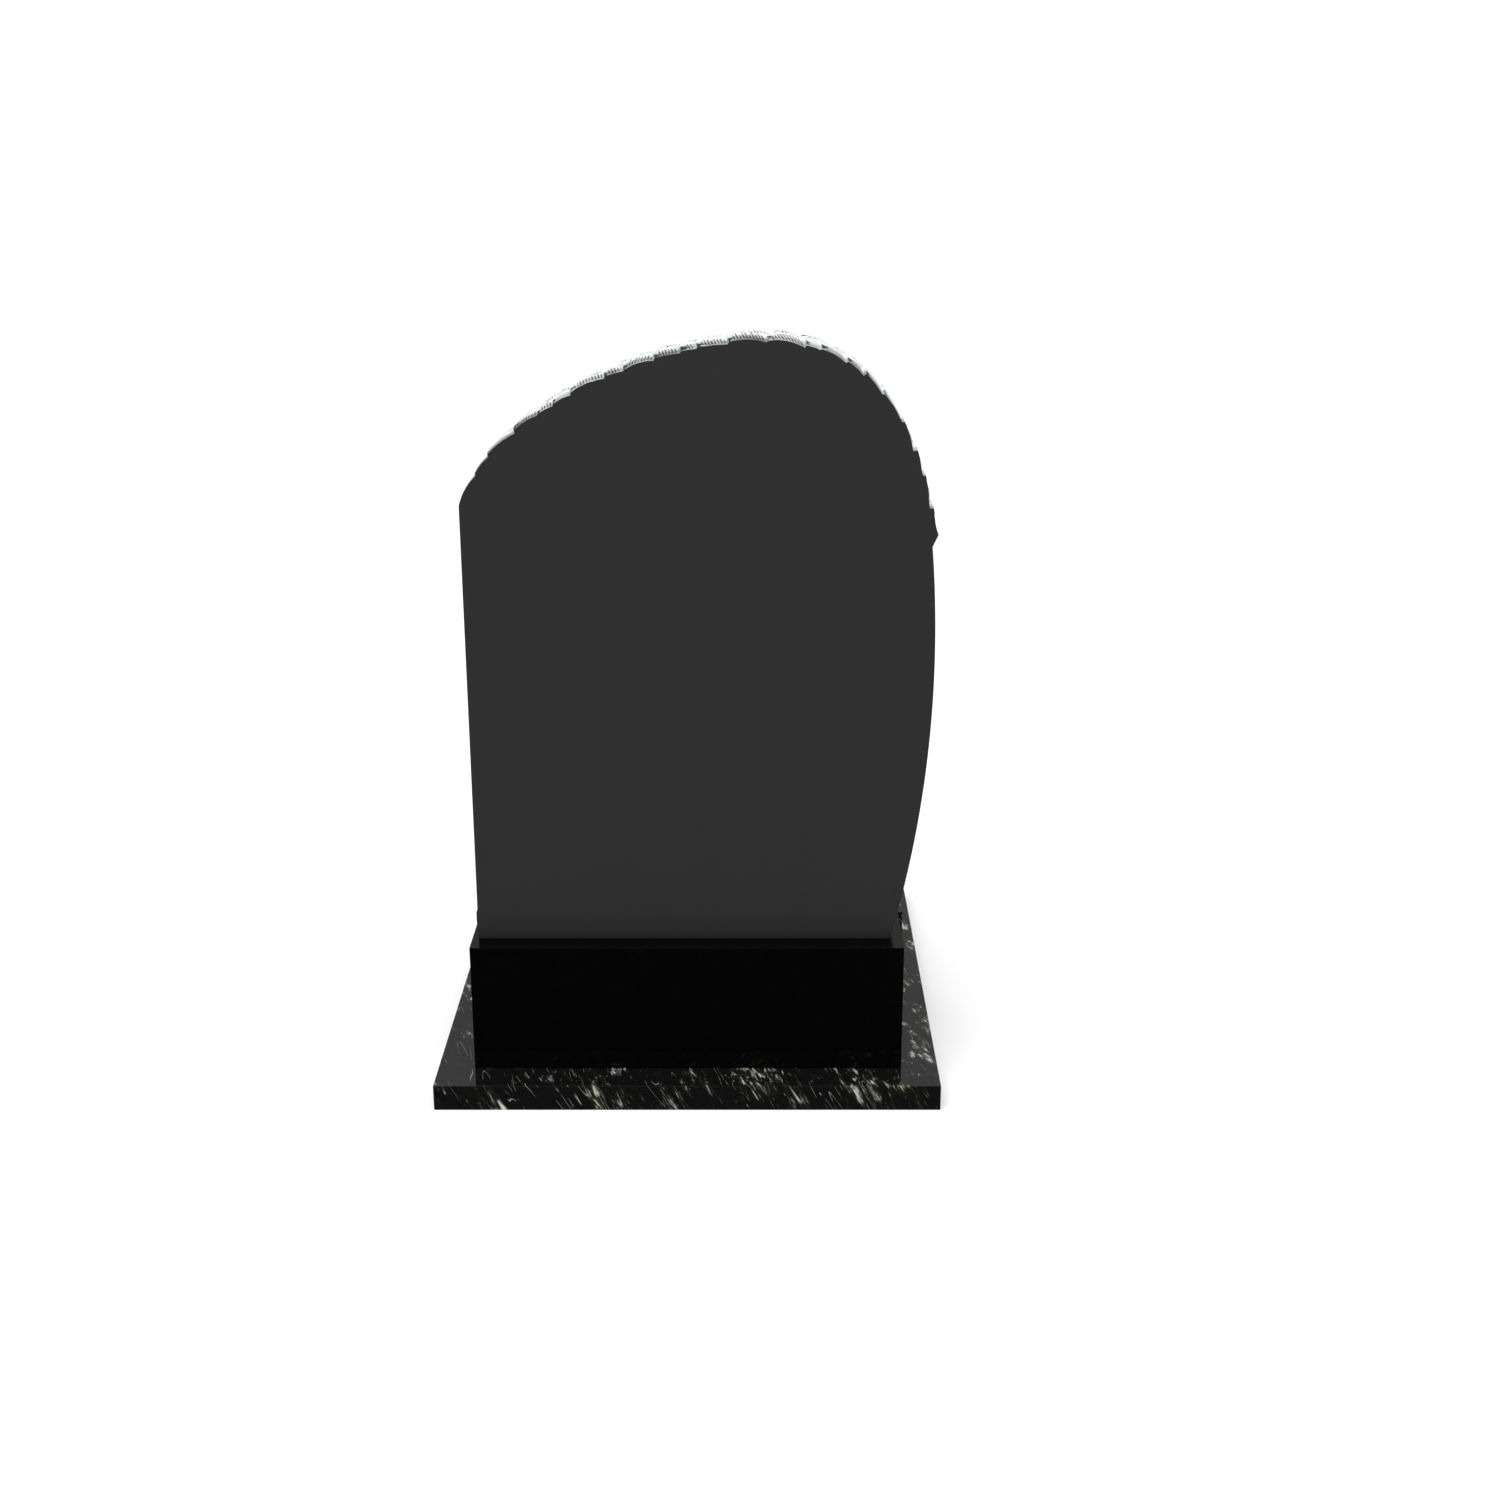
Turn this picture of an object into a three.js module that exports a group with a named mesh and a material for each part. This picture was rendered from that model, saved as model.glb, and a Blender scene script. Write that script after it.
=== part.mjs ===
// A granite headstone: an arched tablet with a rock-pitched top edge stands on a polished plinth,
// a veined block stands behind the plinth, and a wide veined slab lies under them all.
// Sizes are in millimetres. Z is up, the face of the tablet looks towards -Y, and the origin is
// at the middle of the slab's underside.

import * as THREE from 'three';

// Bed joint left between two stones that touch
const BED_JOINT = 0.3;

// Arris ground off every edge of the sawn and polished blocks
const ARRIS = 0.5;

// Base slab
const SLAB_WIDTH = 762;
const SLAB_DEPTH = 820;
const SLAB_HEIGHT = 40;

// Plinth
const PLINTH_WIDTH = 650;
const PLINTH_DEPTH = 136;
const PLINTH_HEIGHT = 200;
const PLINTH_SET_BACK = 57; // from the slab's front to the plinth's front

// Block behind the plinth
const REAR_BLOCK_WIDTH = 664;
const REAR_BLOCK_DEPTH = 150;
const REAR_BLOCK_HEIGHT = 200;

// Tablet, with heights from its own foot and X from the middle of the slab
const TABLET_THICKNESS = 100;
const TABLET_SET_BACK = 33; // from the plinth's front to the tablet's face
const TABLET_LEFT = -315; // the straight sawn side
const SHOULDER_HEIGHT = 662; // where the straight side ends and the pitched edge starts
const PEAK = new THREE.Vector2(115, 891);
const TIP = new THREE.Vector2(361, 621); // where the pitched edge ends, proud of the sawn side below it
const LEFT_ARCH_PULL = new THREE.Vector2(40, 122); // from the shoulder to the first arch's first handle
const LEFT_ARCH_REACH = 166; // level handle on the left of the peak
const RIGHT_ARCH_REACH = 201; // level handle on the right of the peak
const RIGHT_ARCH_PULL = new THREE.Vector2(-19, 68); // from the tip to the second arch's last handle
const NOTCH_HEIGHT = 604; // top of the sawn right side, under the tip
const SAWN_RADIUS = 1750; // bow of the sawn right side
const SAWN_WIDEST = new THREE.Vector2(361, 437); // the bow's widest point
const SAWN_SEGMENTS = 14;

// Pitched edge: chips struck off side by side, one run of them from the face and one from the back,
// that meet in a crest
const FACE_CHIP_SEED = 1856;
const BACK_CHIP_SEED = 7;
const CHIP_SHORTEST = 20;
const CHIP_LONGEST = 54;
const CHIP_LEVEL = 0.8; // how far a whole chip lies above or below the true curve
const CHIP_TILT = 4.8; // fall of a long chip from its start to its end
const CHIP_CROWN = 2.5; // rise of a long chip's middle over its ends, where the edge lies level
const CHIP_VARIETY = 0.7; // how far one chip's fall and rise differ from these, as a share
const CHIP_SLANT = 3; // how far a chip's ends lean along the edge between the arris and the crest
const CHIP_STEP = 2; // width of the step from one chip to the next
const CREST_WANDER = 0.3; // the crest's distance from the middle, as a share of half the thickness
const CREST_WIDTH = 0.3; // width over which the two runs of chips meet, as the same share
const EDGE_BULGE = 4; // how far the middle of the edge stands out past its arrises where it lies level
const EDGE_FADE = 30; // length at each end over which the chips settle into the true curve
const EDGE_COLUMNS = 190; // steps along the pitched edge
const EDGE_ROWS = [-1, -0.93, -0.65, -0.3, 0, 0.3, 0.65, 0.93, 1]; // -1 is the face, 1 is the back

// Finishes
const VEINED_GRANITE = { color: '#1f1f1d', roughness: 0.12, metalness: 0 };
const BLACK_GRANITE = { color: '#070707', roughness: 0.06, metalness: 0 };
const HONED_GRANITE = { color: '#2f2f2f', roughness: 0.5, metalness: 0 };

// Gives the same run of numbers from 0 to 1 for the same seed
function numbersFrom(seed) {
  const multiplier = 1664525;
  const increment = 1013904223;
  const modulus = 4294967296;
  let state = seed;
  return () => {
    state = (state * multiplier + increment) % modulus;
    return state / modulus;
  };
}

// A sawn block that stands on Z = 0, centred on X and Y, with every edge eased by the arris
function easedBlock(width, depth, height) {
  const x = width / 2;
  const y = depth / 2;
  const outline = new THREE.Shape([
    new THREE.Vector2(x, ARRIS - y),
    new THREE.Vector2(x, y - ARRIS),
    new THREE.Vector2(x - ARRIS, y),
    new THREE.Vector2(ARRIS - x, y),
    new THREE.Vector2(-x, y - ARRIS),
    new THREE.Vector2(-x, ARRIS - y),
    new THREE.Vector2(ARRIS - x, -y),
    new THREE.Vector2(x - ARRIS, -y),
  ]);
  const geometry = new THREE.ExtrudeGeometry(outline, {
    depth: height - 2 * ARRIS,
    bevelThickness: ARRIS,
    bevelSize: ARRIS,
    bevelOffset: -ARRIS,
    bevelSegments: 1,
  });
  return geometry.translate(0, 0, ARRIS);
}

// The true curve of the pitched edge, from the left shoulder over the peak to the tip
function pitchedCurve() {
  const shoulder = new THREE.Vector2(TABLET_LEFT, SHOULDER_HEIGHT);
  const curve = new THREE.CurvePath();
  curve.add(new THREE.CubicBezierCurve(
    shoulder,
    shoulder.clone().add(LEFT_ARCH_PULL),
    new THREE.Vector2(PEAK.x - LEFT_ARCH_REACH, PEAK.y),
    PEAK,
  ));
  curve.add(new THREE.CubicBezierCurve(
    PEAK,
    new THREE.Vector2(PEAK.x + RIGHT_ARCH_REACH, PEAK.y),
    TIP.clone().add(RIGHT_ARCH_PULL),
    TIP,
  ));
  return curve;
}

// Sets a run of chips out along an edge of the given length
function setOutChips(length, seed) {
  const random = numbersFrom(seed);
  const either = (size) => size * (2 * random() - 1);
  const chips = [];
  let start = 0;
  while (start < length) {
    const run = THREE.MathUtils.lerp(CHIP_SHORTEST, CHIP_LONGEST, random());
    const isLast = start + run > length - CHIP_SHORTEST;
    const end = isLast ? length : start + run;
    const share = (end - start) / CHIP_LONGEST;
    chips.push({
      start,
      end,
      level: either(CHIP_LEVEL),
      tilt: CHIP_TILT * share * (1 + either(CHIP_VARIETY)),
      crown: CHIP_CROWN * share * (1 + either(CHIP_VARIETY)),
      crest: either(CREST_WANDER),
    });
    start = end;
  }
  return chips;
}

// The chip that a place on the edge belongs to
function chipAt(chips, along) {
  return chips.find((chip) => along < chip.end) ?? chips.at(-1);
}

// Height over the true curve of one run of chips, with the step into the next chip eased.
// Flatness is 1 where the edge lies level, and the chips are less crowned where it is steep.
function chipRise(chips, along, flatness) {
  const chip = chipAt(chips, along);
  const next = chipAt(chips, chip.end);
  const u = (along - chip.start) / (chip.end - chip.start);
  const crown = chip.crown * flatness * (1 - (2 * u - 1) ** 2);
  const rise = chip.level + chip.tilt * (0.5 - u) + crown;
  const step = THREE.MathUtils.smoothstep(along, chip.end - CHIP_STEP, chip.end);
  return THREE.MathUtils.lerp(rise, next.level + next.tilt / 2, step);
}

// One point of the chipped edge: along is the distance from the shoulder, and t runs from face to back
function chippedPoint(edge, along, t) {
  const lean = CHIP_SLANT * (1 - Math.abs(t));
  const crest = chipAt(edge.faceChips, along).crest;
  const towardsBack = THREE.MathUtils.smoothstep(t, crest - CREST_WIDTH, crest + CREST_WIDTH);
  const fade = Math.min(1, along / EDGE_FADE, (edge.length - along) / EDGE_FADE);
  const point = edge.curve.getPoint(along / edge.length);
  const tangent = edge.curve.getTangent(along / edge.length);
  const outward = new THREE.Vector2(-tangent.y, tangent.x);
  const rise = THREE.MathUtils.lerp(
    chipRise(edge.faceChips, along + lean, outward.y),
    chipRise(edge.backChips, along - lean, outward.y),
    towardsBack,
  );
  const bulge = EDGE_BULGE * outward.y ** 2 * Math.sqrt(1 - t * t);
  return point.addScaledVector(outward, (rise + bulge) * fade);
}

// The tablet's outline at one row, clockwise from the left of the foot, as seen from the front
function tabletOutline(edge, t) {
  const points = [new THREE.Vector2(TABLET_LEFT, 0)];
  for (let column = 0; column <= EDGE_COLUMNS; column += 1) {
    points.push(chippedPoint(edge, (edge.length * column) / EDGE_COLUMNS, t));
  }
  const centre = new THREE.Vector2(SAWN_WIDEST.x - SAWN_RADIUS, SAWN_WIDEST.y);
  const notchAngle = Math.asin((NOTCH_HEIGHT - centre.y) / SAWN_RADIUS);
  const footAngle = Math.asin(-centre.y / SAWN_RADIUS);
  const side = new THREE.ArcCurve(centre.x, centre.y, SAWN_RADIUS, notchAngle, footAngle, true);
  return points.concat(side.getPoints(SAWN_SEGMENTS));
}

// Closes one end of the tablet with triangles between the points of its outline
function capTriangles(outline, offset, facesFront) {
  const triangles = THREE.ShapeUtils.triangulateShape(outline, []);
  return triangles.flatMap(([a, b, c]) => {
    const ab = outline[b].clone().sub(outline[a]);
    const ac = outline[c].clone().sub(outline[a]);
    const turnsLeft = ab.cross(ac) > 0;
    const corners = turnsLeft === facesFront ? [a, b, c] : [a, c, b];
    return corners.map((corner) => corner + offset);
  });
}

// The tablet: the outlines of all rows, one behind the other, skinned together and closed at both ends
function tabletGeometry() {
  const curve = pitchedCurve();
  const length = curve.getLength();
  const edge = {
    curve,
    length,
    faceChips: setOutChips(length, FACE_CHIP_SEED),
    backChips: setOutChips(length, BACK_CHIP_SEED),
  };
  const outlines = EDGE_ROWS.map((t) => tabletOutline(edge, t));
  const count = outlines[0].length;
  const positions = outlines.flatMap((outline, row) => {
    const y = (TABLET_THICKNESS / 2) * EDGE_ROWS[row];
    return outline.flatMap((point) => [point.x, y, point.y]);
  });
  const lastRow = EDGE_ROWS.length - 1;
  const indices = [
    ...capTriangles(outlines[0], 0, true),
    ...capTriangles(outlines[lastRow], lastRow * count, false),
  ];
  for (let row = 0; row < lastRow; row += 1) {
    for (let column = 0; column < count; column += 1) {
      const next = (column + 1) % count;
      const front = row * count;
      const back = front + count;
      indices.push(front + column, front + next, back + next);
      indices.push(front + column, back + next, back + column);
    }
  }
  const geometry = new THREE.BufferGeometry();
  geometry.setAttribute('position', new THREE.Float32BufferAttribute(positions, 3));
  geometry.setIndex(indices);
  geometry.computeVertexNormals();
  return geometry;
}

// One stone of the set, named and finished
function stone(name, geometry, finish) {
  const mesh = new THREE.Mesh(geometry, new THREE.MeshStandardMaterial(finish));
  mesh.name = name;
  return mesh;
}

// The stones as they are set, the slab first
const headstone = new THREE.Group();
const slabFront = -SLAB_DEPTH / 2;
const slabTop = SLAB_HEIGHT + BED_JOINT;
const plinthFront = slabFront + PLINTH_SET_BACK;
const plinthBack = plinthFront + PLINTH_DEPTH;

const baseSlab = stone('base_slab', easedBlock(SLAB_WIDTH, SLAB_DEPTH, SLAB_HEIGHT), VEINED_GRANITE);

const plinth = stone('plinth', easedBlock(PLINTH_WIDTH, PLINTH_DEPTH, PLINTH_HEIGHT), BLACK_GRANITE);
plinth.position.set(0, plinthFront + PLINTH_DEPTH / 2, slabTop);

const rearBlock = stone(
  'rear_block',
  easedBlock(REAR_BLOCK_WIDTH, REAR_BLOCK_DEPTH, REAR_BLOCK_HEIGHT),
  VEINED_GRANITE,
);
rearBlock.position.set(0, plinthBack + BED_JOINT + REAR_BLOCK_DEPTH / 2, slabTop);

const tablet = stone('tablet', tabletGeometry(), { ...HONED_GRANITE, flatShading: true });
tablet.position.set(
  0,
  plinthFront + TABLET_SET_BACK + TABLET_THICKNESS / 2,
  slabTop + PLINTH_HEIGHT + BED_JOINT,
);

headstone.add(baseSlab, plinth, rearBlock, tablet);

export default headstone;
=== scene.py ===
import math
from bisect import bisect_right

import bmesh
import bpy
from mathutils import Matrix, Vector, noise
from mathutils.geometry import interpolate_bezier


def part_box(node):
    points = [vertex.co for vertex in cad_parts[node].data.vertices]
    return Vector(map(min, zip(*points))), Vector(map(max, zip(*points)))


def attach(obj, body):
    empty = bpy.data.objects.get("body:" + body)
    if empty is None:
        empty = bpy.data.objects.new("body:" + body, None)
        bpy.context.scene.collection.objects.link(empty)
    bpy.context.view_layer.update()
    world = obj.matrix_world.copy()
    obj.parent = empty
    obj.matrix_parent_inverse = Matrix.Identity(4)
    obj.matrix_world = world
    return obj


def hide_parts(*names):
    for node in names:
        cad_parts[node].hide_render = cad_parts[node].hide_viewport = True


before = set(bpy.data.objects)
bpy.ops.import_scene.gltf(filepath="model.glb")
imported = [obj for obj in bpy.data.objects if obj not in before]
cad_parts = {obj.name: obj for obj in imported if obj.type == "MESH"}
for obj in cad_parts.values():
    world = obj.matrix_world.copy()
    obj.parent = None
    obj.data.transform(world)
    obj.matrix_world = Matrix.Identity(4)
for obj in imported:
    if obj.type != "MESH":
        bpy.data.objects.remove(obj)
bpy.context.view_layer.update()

scene = bpy.context.scene

# Camera
# It stands a little right of the middle, about a person's eye height over the slab, and looks straight
# back and down at the headstone.
slab_low, slab_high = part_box("base_slab")
EYE_OVER_SLAB = 1.438
EYE_BEFORE_SLAB = 2.697
EYE_RIGHT_OF_MIDDLE = 0.0945
LOOK_DOWN = math.radians(18.575)

camera = bpy.data.objects.new("camera", bpy.data.cameras.new("camera"))
camera.data.sensor_width = 36
camera.data.lens = 48.26
camera.location = (EYE_RIGHT_OF_MIDDLE, slab_low.y - EYE_BEFORE_SLAB, slab_high.z + EYE_OVER_SLAB)
camera.rotation_euler = (math.pi / 2 - LOOK_DOWN, 0, 0)
scene.collection.objects.link(camera)
scene.camera = camera

# Base slab
# One thin slab of black granite with light grey veins, sawn and then polished on its top and edges.
# It lies flat on its bed and carries every other stone by weight alone.
ARRIS = 0.0005  # rounded off every polished edge, so that it doesn't flake
VEIN_LIGHT = "#c2c3b8"
VEIN_SMOKE = "#1b1c16"  # the olive cast of the stone round a vein
VEINED_GROUND = "#0f0f0f"


def colour(hex_value):
    """Turns an sRGB hex colour into the linear one that a shader takes."""
    channels = [int(hex_value[i:i + 2], 16) / 255 for i in (1, 3, 5)]
    linear = [c / 12.92 if c <= 0.04045 else ((c + 0.055) / 1.055) ** 2.4 for c in channels]
    return (*linear, 1)


def add(tree, kind, inputs, output=0, **settings):
    """Adds a node, sets or links its inputs, and returns one of its outputs."""
    node = tree.nodes.new(kind)
    for key, value in settings.items():
        setattr(node, key, value)
    for key, value in inputs.items():
        if isinstance(value, bpy.types.NodeSocket):
            tree.links.new(value, node.inputs[key])
        else:
            node.inputs[key].default_value = value
    return node.outputs[output]


def new_material(name):
    """Makes a plain material and returns it with its node tree and its shader."""
    material = bpy.data.materials.new(name)
    material.use_nodes = True
    tree = material.node_tree
    tree.nodes.clear()
    shader = tree.nodes.new("ShaderNodeBsdfPrincipled")
    surface = tree.nodes.new("ShaderNodeOutputMaterial")
    tree.links.new(shader.outputs["BSDF"], surface.inputs["Surface"])
    return material, tree, shader


def new_piece(name, form, materials, node):
    """Turns a finished bmesh into the piece that stands for a node."""
    mesh = bpy.data.meshes.new(name)
    form.to_mesh(mesh)
    form.free()
    for material in materials:
        mesh.materials.append(material)
    piece = bpy.data.objects.new(name, mesh)
    scene.collection.objects.link(piece)
    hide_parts(node)
    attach(piece, "root")
    return piece


def eased_block(node):
    """A sawn block as large as its node, with every edge rounded by the arris."""
    low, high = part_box(node)
    block = bmesh.new()
    bmesh.ops.create_cube(block, size=1)
    bmesh.ops.scale(block, vec=high - low, verts=block.verts)
    bmesh.ops.translate(block, vec=(low + high) / 2, verts=block.verts)
    rounded = bmesh.ops.bevel(
        block, geom=block.edges[:], offset=ARRIS, segments=3, profile=0.5, affect="EDGES", material=-1
    )
    for face in rounded["faces"]:
        face.smooth = True
    return block


def polished_veined_granite():
    """Black granite with light veins, polished: a dark mirror with light streaks that all run one way.

    Each face of a stone shows another cut through the same veins."""
    material, tree, shader = new_material("polished veined black granite")
    place = add(tree, "ShaderNodeTexCoord", {}, output="Object")
    # A vein is a tilted sheet in the stone: thin across, long down its slope, and less long along the level
    across = Vector((0.84, 0.24, 0.48)).normalized()
    down = across.cross(Vector((0, 1, 0))).normalized()
    level = down.cross(across)
    turn = Matrix((across, down, level)).transposed().to_euler()

    def veins(size_mm, detail, roughness, distortion, offset):
        """Noise whose lumps have that size in millimetres across, down and along the veins.

        The offset in metres picks the part of the noise that the stones lie in."""
        size = [millimetres / 1000 for millimetres in size_mm]
        space = add(
            tree, "ShaderNodeMapping",
            {"Vector": place, "Rotation": turn, "Scale": size, "Location": [offset] * 3},
            vector_type="TEXTURE",
        )
        return add(
            tree, "ShaderNodeTexNoise",
            {
                "Vector": space, "Scale": 1,
                "Detail": detail, "Roughness": roughness, "Distortion": distortion,
            },
        )

    def blend(value, low, high, to_low=0.0, to_high=1.0):
        """An eased step from one level to the other while the value goes from low to high."""
        return add(
            tree, "ShaderNodeMapRange",
            {"Value": value, "From Min": low, "From Max": high, "To Min": to_low, "To Max": to_high},
            interpolation_type="SMOOTHSTEP",
        )

    def maths(operation, a, b):
        return add(tree, "ShaderNodeMath", {0: a, 1: b}, operation=operation)

    # The streaks gather in clouds and are broken up by fine strokes. Between them lie single blots, and
    # hairlines, which are the places where a long smooth noise crosses its middle
    clouds = veins((42, 100, 80), 2, 0.5, 0.3, offset=2.48)
    streaks = veins((7.5, 46, 30), 3, 0.55, 0.6, offset=5.48)
    strokes = veins((2.6, 15, 10), 3, 0.55, 0.2, offset=7.48)
    blots = veins((5, 22, 15), 1, 0.5, 0.6, offset=9.48)
    hairs = veins((12, 150, 100), 0, 0.5, 0, offset=11.48)
    breaks = veins((30, 34, 30), 1, 0.5, 0, offset=3.11)
    gathered = maths("ADD", streaks, blend(clouds, 0.4, 0.66, -0.15, 0.14))
    broken = maths("ADD", gathered, blend(strokes, 0.3, 0.7, -0.04, 0.04))
    cluster = maths("MULTIPLY", blend(broken, 0.61, 0.8), blend(strokes, 0.36, 0.58, 0.3, 1.0))
    ridge = maths("ABSOLUTE", maths("SUBTRACT", hairs, 0.5), 0)
    hairline = maths("MULTIPLY", blend(ridge, 0.002, 0.009, 0.5, 0.0), blend(breaks, 0.52, 0.62))
    smoke = blend(gathered, 0.46, 0.62)
    flecks = maths("MULTIPLY", blend(strokes, 0.55, 0.75, 0.0, 0.3), smoke)
    fine = maths("MAXIMUM", maths("MAXIMUM", hairline, flecks), blend(blots, 0.74, 0.84, 0.0, 0.6))
    light = maths("MAXIMUM", cluster, fine)
    ground = add(
        tree, "ShaderNodeMix", {"Factor": smoke, 6: colour(VEINED_GROUND), 7: colour(VEIN_SMOKE)},
        output=2, data_type="RGBA",
    )
    stone = add(
        tree, "ShaderNodeMix", {"Factor": light, 6: ground, 7: colour(VEIN_LIGHT)},
        output=2, data_type="RGBA",
    )
    tree.links.new(stone, shader.inputs["Base Color"])
    tree.links.new(blend(light, 0, 1, 0.07, 0.16), shader.inputs["Roughness"])
    return material


veined_granite = polished_veined_granite()
new_piece("polished_base_slab", eased_block("base_slab"), [veined_granite], "base_slab")

# Plinth
# One block of even black granite, sawn and polished on all sides. It stands on the slab with the same
# margin in front as at its sides, and the tablet stands on it.


def polished_black_granite():
    """Even black granite, polished: a black mirror with crystals that barely show."""
    material, tree, shader = new_material("polished black granite")
    place = add(tree, "ShaderNodeTexCoord", {}, output="Object")
    crystal_mm = 1.6
    crystals = add(
        tree, "ShaderNodeTexVoronoi", {"Vector": place, "Scale": 1000 / crystal_mm}, output="Color"
    )
    bright = add(tree, "ShaderNodeMapRange", {"Value": crystals, "From Min": 0.55, "From Max": 1.0})
    stone = add(
        tree, "ShaderNodeMix", {"Factor": bright, 6: colour("#030303"), 7: colour("#090909")},
        output=2, data_type="RGBA",
    )
    tree.links.new(stone, shader.inputs["Base Color"])
    shader.inputs["Roughness"].default_value = 0.11
    shader.inputs["Specular IOR Level"].default_value = 0.2
    return material


black_granite = polished_black_granite()
new_piece("polished_plinth", eased_block("plinth"), [black_granite], "plinth")

# Block behind the plinth
# A block of the same veined granite as the slab, a little wider than the plinth and close behind it.
# It is polished all round and stands on the slab.
new_piece(
    "polished_rear_block", eased_block("rear_block"), [veined_granite], "rear_block"
)

# Tablet
# The upright stone, one slab of black granite sawn to shape. Its faces and sawn sides are honed to an even
# dark grey, and its arched top is pitched: chips are struck off from the face and from the back, which
# leaves the edge rough and bruised nearly white.
TABLET_LOW, TABLET_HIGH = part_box("tablet")
THICKNESS = TABLET_HIGH.y - TABLET_LOW.y
FOOT = TABLET_LOW.z
MM = 0.001  # the lengths from here on are in millimetres
TABLET_LEFT = -315
SHOULDER = Vector((TABLET_LEFT, 662))  # where the pitched edge starts
PEAK = Vector((115, 891))
TIP = Vector((361, 621))  # where the pitched edge ends, over the notch
LEFT_ARCH_PULL = Vector((40, 122))  # the curve's handles, from the points that they belong to
LEFT_ARCH_REACH = Vector((166, 0))
RIGHT_ARCH_REACH = Vector((201, 0))
RIGHT_ARCH_PULL = Vector((-19, 68))
ARCH_POINTS = 600  # on each of the two curves
NOTCH_HEIGHT = 604
SAWN_RADIUS = 1750  # of the right side's bow
SAWN_WIDEST = Vector((361, 437))
SAWN_SEGMENTS = 48
SAWN_ARRIS = 0.001  # in metres, taken off between the faces and the sawn sides

FACE_CHIP_SEED = 1856
BACK_CHIP_SEED = 7
CHIP_SHORTEST = 20
CHIP_LONGEST = 54
CHIP_LEVEL = 0.8  # how far a whole chip lies above or below the true curve
CHIP_TILT = 4.8  # fall of a long chip from its start to its end
CHIP_CROWN = 2.5  # rise of a long chip's middle over its ends, where the edge lies level
CHIP_VARIETY = 0.7  # how far one chip's fall and rise differ from these, as a share
CHIP_SLANT = 3  # how far a chip's ends lean along the edge between the arris and the crest
CHIP_STEP = 2  # length of the step from one chip to the next
CREST_WANDER = 0.3  # the crest's distance from the middle, as a share of half the thickness
CREST_WIDTH = 0.3  # to either side of the crest the two runs of chips meet, as the same share
EDGE_BULGE = 4  # how far the middle stands out past the arrises, where the edge lies level
EDGE_FADE = 30  # length at each end over which the relief settles into the true curve
EDGE_STEP = 0.8  # fine enough for the chisel's grooves
EDGE_ROWS = 50

# The chisel's teeth leave grooves across the edge on most chips
GROOVED_SHARE = 0.7  # of all chips
GROOVE_PITCH = 4.4
GROOVE_DEPTH = 1.3
GROOVE_LEAN = 7  # how far a groove leans along the edge between the arris and the middle, at most
GROOVE_SHARPNESS = 3
GROOVES_SET_IN = (5, 9)  # from no depth to full depth, measured from the start of the chip
GROOVES_DIE_OUT = (2, 5)  # the same, from its end
GROOVES_LEAVE_ARRIS = (0.05, 0.16)  # the same, from the arris, as shares of half the thickness
GROOVE_REACH = 0.85  # where a groove ends, from the arris, as the same share
GROOVE_REACH_VARIETY = 0.5
GROOVE_TAPER = 0.2
GROOVE_GAPS = (-0.55, -0.15)  # no depth and full depth again, as values of the ragged noise

# Where the chisel was set, at the start of a chip, it leaves a pit, which is painted dark as shade in it
PIT_DEPTH = 1
PIT_STRENGTH = (0.5, 1)  # least and most
PIT_LENGTH = (8, 16)  # least and most
PIT_PLACE = (0.15, 0.4)  # least and most of its middle from the arris, as a share of half the thickness
PIT_WIDTH = 17  # to either side of its middle, where it starts
PIT_WALL = (0, 1.5)  # from no depth to full depth, measured from the start of the chip
PIT_RIM = (0, 0.55)  # the same, from its rim, as a share of the pit
PIT_RAGGEDNESS = 0.6
RAGGED_SIZE = 6  # of the lumps that make a pit's rim ragged and a groove patchy
GRAIN = ((13, 0.8), (4.2, 0.45), (1.9, 0.25))  # size and height of the broken grain, coarse to fine
GRAIN_APART = 17  # so that the three grains aren't alike
GRAIN_SUNK = 0.8  # keeps the highest grain below the highest point of the solid

# How dark the edge is painted: 0 is bruised nearly white and 1 is the dark unbruised stone. It is partly
# the stone's own grey and partly painted shade, in pits, grooves and on the steep flank by the face
ARRIS_GREY = 0.62  # by the face, where the chisel only cracked it; it is also painted shade on the steep flank there
CHIP_GREY = (0.75, 1.3)  # least and most that a chip has of that
BRUISED_FROM = 38  # distance from the face at which the grey, with the painted flank shade, has all faded to bruised white
GRAIN_LIGHT = 0.3  # for each millimetre that the grain stands out
# Painted shade: grooves and pits are painted darker for the shade in them
GROOVE_DARK = 1.6
PIT_DARK = 2.6


def numbers_from(seed):
    """Gives the same run of numbers from 0 to 1 for the same seed."""
    state = seed
    while True:
        state = (state * 1664525 + 1013904223) % 4294967296
        yield state / 4294967296


def smooth(value, low, high):
    """0 below low, 1 above high, and an eased step between them."""
    share = min(max((value - low) / (high - low), 0), 1)
    return share * share * (3 - 2 * share)


def mix(a, b, share):
    """Goes from a to b as the share goes from 0 to 1."""
    return a + (b - a) * share


def pitched_curve():
    """The true curve of the pitched edge as close points, each with its distance from the shoulder."""
    left = interpolate_bezier(
        SHOULDER, SHOULDER + LEFT_ARCH_PULL, PEAK - LEFT_ARCH_REACH, PEAK, ARCH_POINTS
    )
    right = interpolate_bezier(
        PEAK, PEAK + RIGHT_ARCH_REACH, TIP + RIGHT_ARCH_PULL, TIP, ARCH_POINTS
    )
    points = left + right[1:]
    distances = [0]
    for a, b in zip(points, points[1:]):
        distances.append(distances[-1] + (b - a).length)
    return points, distances


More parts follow.
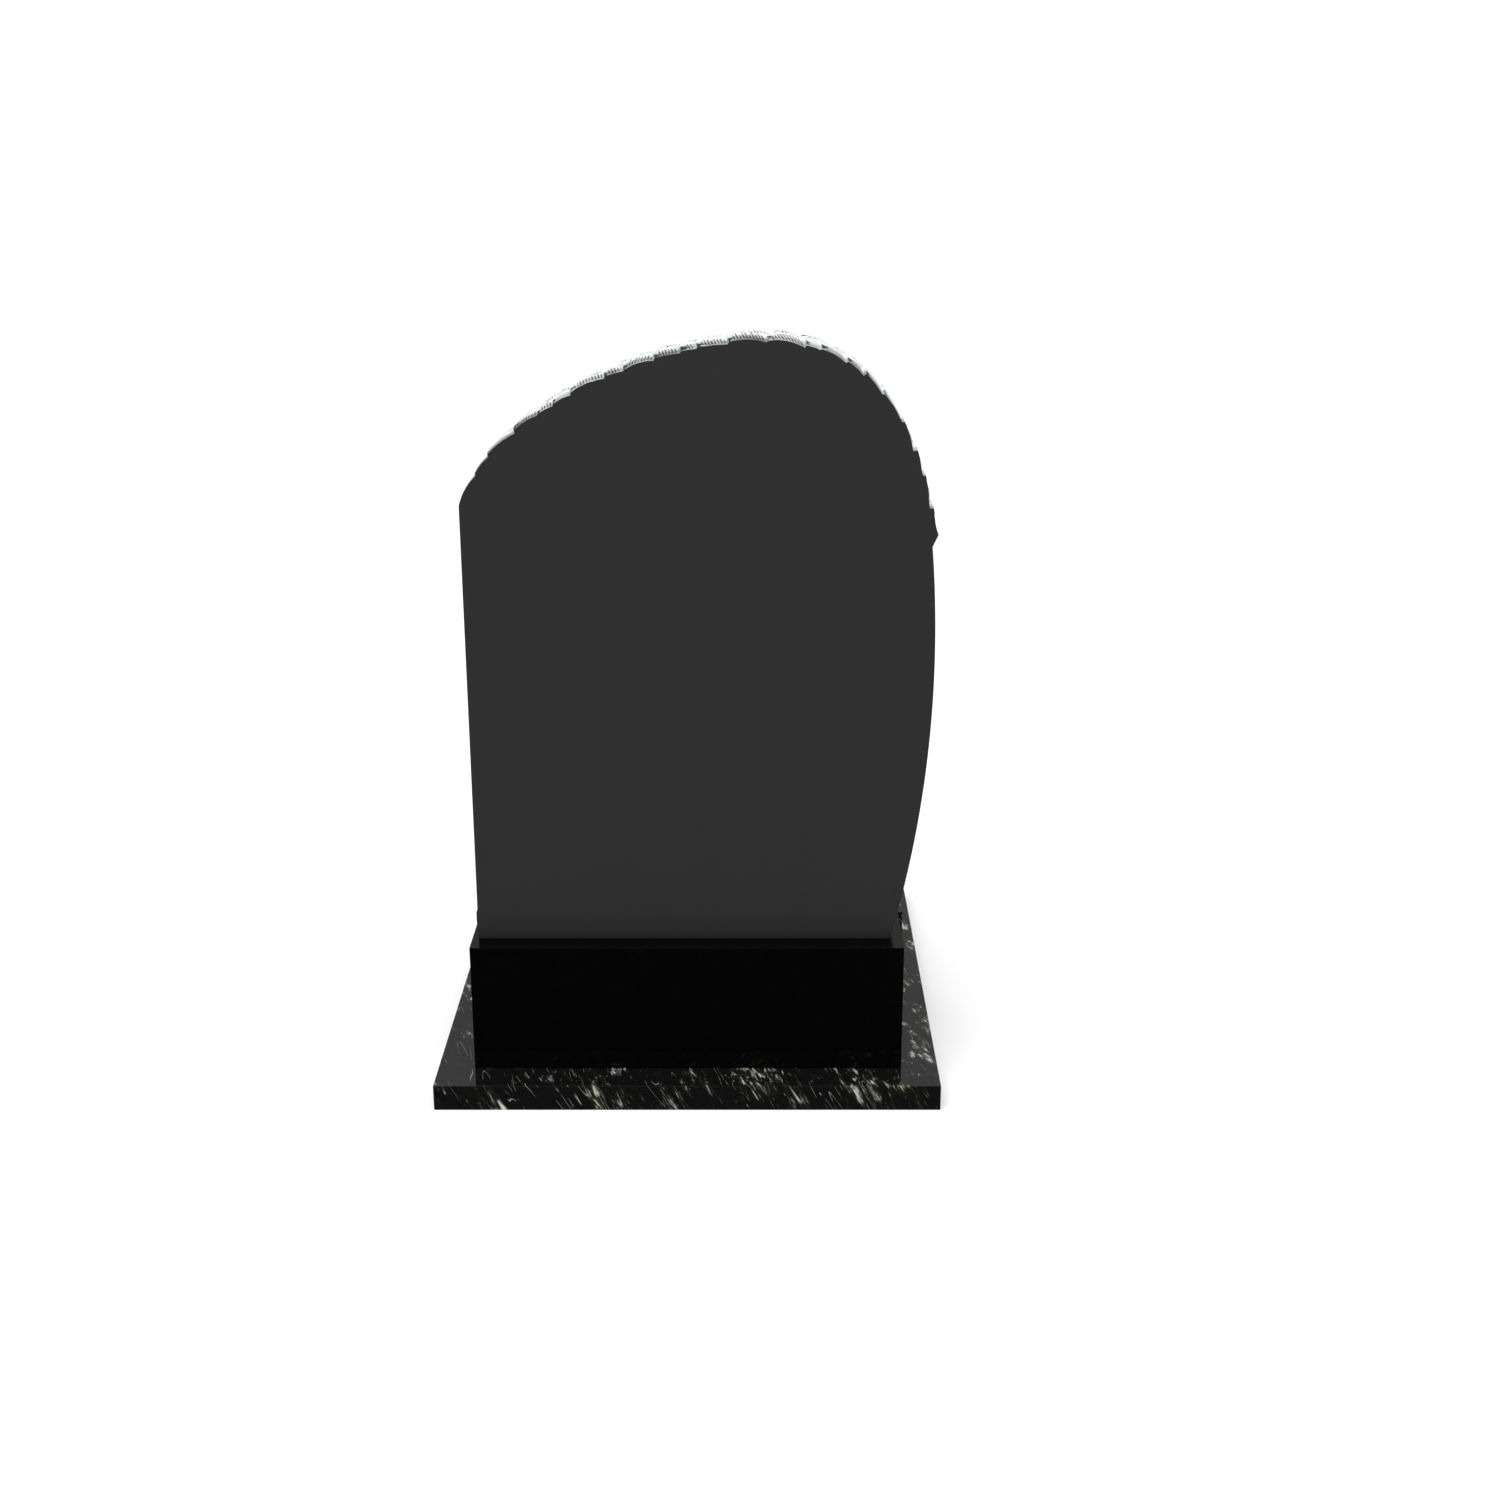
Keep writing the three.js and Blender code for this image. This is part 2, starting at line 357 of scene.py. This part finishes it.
def set_out_chips(length, seed):
    """Sets a run of chips out along the edge, where the solid has them, and then their toolmarks."""
    numbers = numbers_from(seed)
    chips = []
    start = 0
    while start < length:
        end = start + mix(CHIP_SHORTEST, CHIP_LONGEST, next(numbers))
        if end > length - CHIP_SHORTEST:
            end = length
        share = (end - start) / CHIP_LONGEST
        chips.append({
            "start": start,
            "end": end,
            "level": CHIP_LEVEL * (2 * next(numbers) - 1),
            "tilt": CHIP_TILT * share * (1 + CHIP_VARIETY * (2 * next(numbers) - 1)),
            "crown": CHIP_CROWN * share * (1 + CHIP_VARIETY * (2 * next(numbers) - 1)),
            "crest": CREST_WANDER * (2 * next(numbers) - 1),
        })
        start = end
    for chip in chips:
        chip["grooved"] = next(numbers) < GROOVED_SHARE
        chip["groove_lean"] = GROOVE_LEAN * (2 * next(numbers) - 1)
        chip["pit"] = mix(*PIT_STRENGTH, next(numbers))
        chip["pit_length"] = mix(*PIT_LENGTH, next(numbers) ** 2)
        chip["pit_place"] = mix(*PIT_PLACE, next(numbers))
        chip["grey"] = mix(*CHIP_GREY, next(numbers))
    return chips


curve_points, curve_distances = pitched_curve()
edge_length = curve_distances[-1]
runs = {
    "face": set_out_chips(edge_length, FACE_CHIP_SEED),
    "back": set_out_chips(edge_length, BACK_CHIP_SEED),
}
chip_ends = {side: [chip["end"] for chip in chips] for side, chips in runs.items()}


def chip_number(side, along):
    """Which chip of a run a place along the edge belongs to."""
    return min(bisect_right(chip_ends[side], along), len(runs[side]) - 1)


def chip_rise(side, along, flatness):
    """Height of a run of chips over the true curve, as the solid has it."""
    number = chip_number(side, along)
    chip = runs[side][number]
    following = runs[side][min(number + 1, len(runs[side]) - 1)]
    u = (along - chip["start"]) / (chip["end"] - chip["start"])
    crown = chip["crown"] * flatness * (1 - (2 * u - 1) ** 2)
    rise = chip["level"] + chip["tilt"] * (0.5 - u) + crown
    step = smooth(along, chip["end"] - CHIP_STEP, chip["end"])
    return mix(rise, following["level"] + following["tilt"] / 2, step)


def toolmarks(side, along, inward, ragged):
    """How far a place lies in a chisel's groove and in a pit, and how grey its chip is.

    Inward is 0 at the arris and 1 at the middle of the edge. Ragged is a noise around 0."""
    chip = runs[side][chip_number(side, along)]
    into = along - chip["start"]
    left = chip["end"] - along
    groove = 0
    if chip["grooved"]:
        wave = math.cos(2 * math.pi * (into + chip["groove_lean"] * inward) / GROOVE_PITCH)
        lengthwise = smooth(into, *GROOVES_SET_IN) * smooth(left, *GROOVES_DIE_OUT)
        reach = GROOVE_REACH + GROOVE_REACH_VARIETY * noise.noise(Vector((along / GROOVE_PITCH, 0, 0)))
        crosswise = smooth(inward, *GROOVES_LEAVE_ARRIS) * (1 - smooth(inward, reach - GROOVE_TAPER, reach))
        groove = (0.5 + 0.5 * wave) ** GROOVE_SHARPNESS * lengthwise * crosswise
        groove *= smooth(ragged, *GROOVE_GAPS)
    aside = abs(inward - chip["pit_place"]) * THICKNESS / MM / 2
    narrowing = 1 - into / chip["pit_length"] - aside / PIT_WIDTH + PIT_RAGGEDNESS * ragged
    pit = chip["pit"] * smooth(narrowing, *PIT_RIM) * smooth(into, *PIT_WALL)
    return Vector((groove, pit, chip["grey"]))


def pitched_vertex(along, t):
    """Place of a point on the pitched edge in millimetres, and how dark it is painted there, with the
    stone's own unbruised grey and painted shade in pits, grooves and on the flank by the face.

    Along is its distance from the shoulder, and t goes from -1 at the face to 1 at the back."""
    number = min(max(bisect_right(curve_distances, along), 1), len(curve_distances) - 1)
    before, after = curve_points[number - 1], curve_points[number]
    run = curve_distances[number] - curve_distances[number - 1]
    point = before.lerp(after, (along - curve_distances[number - 1]) / run)
    tangent = (after - before).normalized()
    outward = Vector((-tangent.y, tangent.x))
    lean = CHIP_SLANT * (1 - abs(t))
    crest = runs["face"][chip_number("face", along)]["crest"]
    towards_back = smooth(t, crest - CREST_WIDTH, crest + CREST_WIDTH)
    rise = mix(
        chip_rise("face", along + lean, outward.y), chip_rise("back", along - lean, outward.y), towards_back
    )
    across = t * THICKNESS / MM / 2
    ragged = noise.noise(Vector((along, across, 0)) / RAGGED_SIZE)
    groove, pit, grey = mix(
        toolmarks("face", along + lean, 1 - abs(t), ragged),
        toolmarks("back", along - lean, 1 - abs(t), ragged),
        towards_back,
    )
    grain = sum(
        height * noise.noise(Vector((along, across, GRAIN_APART * size)) / size) for size, height in GRAIN
    )
    bulge = EDGE_BULGE * outward.y ** 2 * math.sqrt(max(1 - t * t, 0))
    fade = max(min(1, along / EDGE_FADE, (edge_length - along) / EDGE_FADE), 0)
    height = (rise + bulge + grain - GRAIN_SUNK - GROOVE_DEPTH * groove - PIT_DEPTH * pit) * fade
    from_face = (t + 1) * THICKNESS / MM / 2
    # Painted shade: the grey by the face also stands for the shaded steep flank, and grooves and pits are
    # painted dark for the shade in them; grain that stands out is painted lighter
    cracked_and_flank_shade = ARRIS_GREY * grey * (1 - smooth(from_face, 0, BRUISED_FROM))
    unbruised_and_shade = cracked_and_flank_shade - GRAIN_LIGHT * grain + GROOVE_DARK * groove + PIT_DARK * pit
    return point + outward * height, min(max(unbruised_and_shade, 0), 1)


def tablet_form():
    """The tablet's outline, extruded from face to back in thin rows, with its arch broken into chips."""
    form = bmesh.new()
    place_along = form.verts.layers.float.new("along")
    unbruised_and_shade = form.verts.layers.float.new("unbruised_and_shade")
    off_the_edge = -1
    columns = round(edge_length / EDGE_STEP)
    outline = [(Vector((TABLET_LEFT, 0)), off_the_edge)]
    for column in range(columns + 1):
        along = edge_length * column / columns
        outline.append((pitched_vertex(along, -1)[0], along))
    centre = Vector((SAWN_WIDEST.x - SAWN_RADIUS, SAWN_WIDEST.y))
    notch = math.asin((NOTCH_HEIGHT - centre.y) / SAWN_RADIUS)
    foot = math.asin(-centre.y / SAWN_RADIUS)
    for segment in range(SAWN_SEGMENTS + 1):
        angle = mix(notch, foot, segment / SAWN_SEGMENTS)
        outline.append((centre + SAWN_RADIUS * Vector((math.cos(angle), math.sin(angle))), off_the_edge))

    ring = []
    for point, along in outline:
        vertex = form.verts.new((point.x * MM, TABLET_LOW.y, FOOT + point.y * MM))
        vertex[place_along] = along
        ring.append(vertex)
    face_edges = [form.edges.new(pair) for pair in zip(ring, ring[1:] + ring[:1])]
    back_edges = face_edges
    for _ in range(EDGE_ROWS):
        grown = bmesh.ops.extrude_edge_only(form, edges=back_edges)["geom"]
        back_edges = [part for part in grown if isinstance(part, bmesh.types.BMEdge)]
        moved = [part for part in grown if isinstance(part, bmesh.types.BMVert)]
        bmesh.ops.translate(form, vec=(0, THICKNESS / EDGE_ROWS, 0), verts=moved)

    for vertex in form.verts:
        if vertex[place_along] >= 0:
            t = (vertex.co.y - TABLET_LOW.y) / THICKNESS * 2 - 1
            point, vertex[unbruised_and_shade] = pitched_vertex(vertex[place_along], t)
            vertex.co.x = point.x * MM
            vertex.co.z = FOOT + point.y * MM
    for face in form.faces:
        pitched = all(vertex[place_along] >= 0 for vertex in face.verts)
        face.material_index = 1 if pitched else 0
        face.smooth = pitched

    bmesh.ops.edgeloop_fill(form, edges=face_edges)
    bmesh.ops.edgeloop_fill(form, edges=back_edges)
    sawn = [
        edge for edge in face_edges + back_edges
        if all(vertex[place_along] == off_the_edge for vertex in edge.verts)
    ]
    bmesh.ops.bevel(
        form, geom=sawn, offset=SAWN_ARRIS, segments=2, profile=0.5, affect="EDGES", material=0
    )
    bmesh.ops.recalc_face_normals(form, faces=form.faces)
    form.verts.layers.float.remove(place_along)
    return form


def honed_black_granite():
    """Black granite rubbed with a fine stone: flat dark grey, no mirror, and crystals that just show."""
    material, tree, shader = new_material("honed black granite")
    place = add(tree, "ShaderNodeTexCoord", {}, output="Object")
    crystal_mm = 1.8
    cloud_mm = 90
    crystals = add(
        tree, "ShaderNodeTexVoronoi", {"Vector": place, "Scale": 1000 / crystal_mm}, output="Color"
    )
    clouds = add(tree, "ShaderNodeTexNoise", {"Vector": place, "Scale": 1000 / cloud_mm, "Detail": 3})
    lively = add(tree, "ShaderNodeMix", {"Factor": 0.3, 2: crystals, 3: clouds}, output=0)
    stone = add(
        tree, "ShaderNodeMix", {"Factor": lively, 6: colour("#292929"), 7: colour("#2e2e2e")},
        output=2, data_type="RGBA",
    )
    tree.links.new(stone, shader.inputs["Base Color"])
    rubbed = add(tree, "ShaderNodeMapRange", {"Value": crystals, "To Min": 0.5, "To Max": 0.6})
    tree.links.new(rubbed, shader.inputs["Roughness"])
    shader.inputs["Specular IOR Level"].default_value = 0.3
    return material


def pitched_granite():
    """Granite broken with a pitching chisel: bruised nearly white, dark where it isn't bruised, and painted
    dark as shade in pits, grooves and on the flank by the face.
    """
    material, tree, shader = new_material("rock-pitched granite")
    place = add(tree, "ShaderNodeTexCoord", {}, output="Object")
    crystal_mm = 1.6
    patch_mm = 14
    crystals = add(
        tree, "ShaderNodeTexNoise",
        {"Vector": place, "Scale": 1000 / crystal_mm, "Detail": 2, "Roughness": 0.6},
    )
    patches = add(tree, "ShaderNodeTexNoise", {"Vector": place, "Scale": 1000 / patch_mm, "Detail": 3})
    lively = add(tree, "ShaderNodeMix", {"Factor": 0.5, 2: crystals, 3: patches}, output=0)
    bruised = add(tree, "ShaderNodeMapRange", {"Value": lively, "From Min": 0.36, "From Max": 0.58})
    light = add(
        tree, "ShaderNodeMix", {"Factor": bruised, 6: colour("#ced3d3"), 7: colour("#f8fafa")},
        output=2, data_type="RGBA",
    )
    # This attribute paints the unbruised stone's dark grey together with painted shade in pits, grooves and
    # on the flank by the face
    unbruised_and_shade = add(tree, "ShaderNodeAttribute", {}, output="Fac", attribute_name="unbruised_and_shade")
    stone = add(
        tree, "ShaderNodeMix", {"Factor": unbruised_and_shade, 6: light, 7: colour("#303333")},
        output=2, data_type="RGBA",
    )
    tree.links.new(stone, shader.inputs["Base Color"])
    shader.inputs["Roughness"].default_value = 0.85
    bump = add(
        tree, "ShaderNodeBump", {"Height": crystals, "Strength": 0.5, "Distance": 0.0006}, output="Normal"
    )
    tree.links.new(bump, shader.inputs["Normal"])
    return material


new_piece(
    "pitched_tablet", tablet_form(), [honed_black_granite(), pitched_granite()], "tablet"
)

# Floor
# A plain pale studio floor of paper, level with the underside of the slab. It carries the headstone in
# the picture and isn't part of it.
FLOOR_SIZE = 80


def pale_floor():
    """Matt pale paper that glows faintly of itself, painted light that leaves only a faint shadow on it."""
    material, _, shader = new_material("pale studio floor")
    shader.inputs["Base Color"].default_value = colour("#fbfbfb")
    shader.inputs["Roughness"].default_value = 1
    shader.inputs["Specular IOR Level"].default_value = 0
    # A faint glow, painted light that lifts the floor's shadow towards white
    shader.inputs["Emission Color"].default_value = colour("#ffffff")
    shader.inputs["Emission Strength"].default_value = 0.05
    return material


ground = bmesh.new()
bmesh.ops.create_grid(ground, x_segments=1, y_segments=1, size=FLOOR_SIZE / 2)
floor_mesh = bpy.data.meshes.new("floor")
ground.to_mesh(floor_mesh)
ground.free()
floor_mesh.materials.append(pale_floor())
floor = bpy.data.objects.new("floor", floor_mesh)
scene.collection.objects.link(floor)
floor.visible_glossy = False

# Light
# One wide soft light from high in front and a sky that is pale overhead and dim at the horizon, so that the
# polish stays deep black on upright faces and mirrors grey on level ones.
key = bpy.data.objects.new("key", bpy.data.lights.new("key", "SUN"))
key.data.energy = 2.3
key.data.angle = math.radians(60)
key.rotation_euler = (math.radians(26), 0, math.radians(-12))
key.visible_glossy = False
scene.collection.objects.link(key)

world = bpy.data.worlds.new("studio")
world.use_nodes = True
world.node_tree.nodes.clear()
direction = add(world.node_tree, "ShaderNodeTexCoord", {}, output="Generated")
height = add(world.node_tree, "ShaderNodeSeparateXYZ", {"Vector": direction}, output="Z")
sky_ramp = world.node_tree.nodes.new("ShaderNodeValToRGB")
world.node_tree.links.new(height, sky_ramp.inputs["Fac"])
sky = sky_ramp.color_ramp
sky.elements[0].position, sky.elements[0].color = 0.0, (0.02, 0.02, 0.02, 1)
sky.elements[1].position, sky.elements[1].color = 1.0, (0.9, 0.9, 0.9, 1)
for place, level in ((0.05, 0.26), (0.4, 0.34), (0.7, 0.52)):
    stop = sky.elements.new(place)
    stop.color = (level, level, level, 1)
seen = add(world.node_tree, "ShaderNodeLightPath", {}, output="Is Camera Ray")
backdrop = add(
    world.node_tree, "ShaderNodeMix", {"Factor": seen, 6: sky_ramp.outputs["Color"], 7: (1, 1, 1, 1)},
    output=2, data_type="RGBA",
)
shine = add(world.node_tree, "ShaderNodeBackground", {"Color": backdrop})
surroundings = world.node_tree.nodes.new("ShaderNodeOutputWorld")
world.node_tree.links.new(shine, surroundings.inputs["Surface"])
scene.world = world
scene.view_settings.view_transform = "Standard"
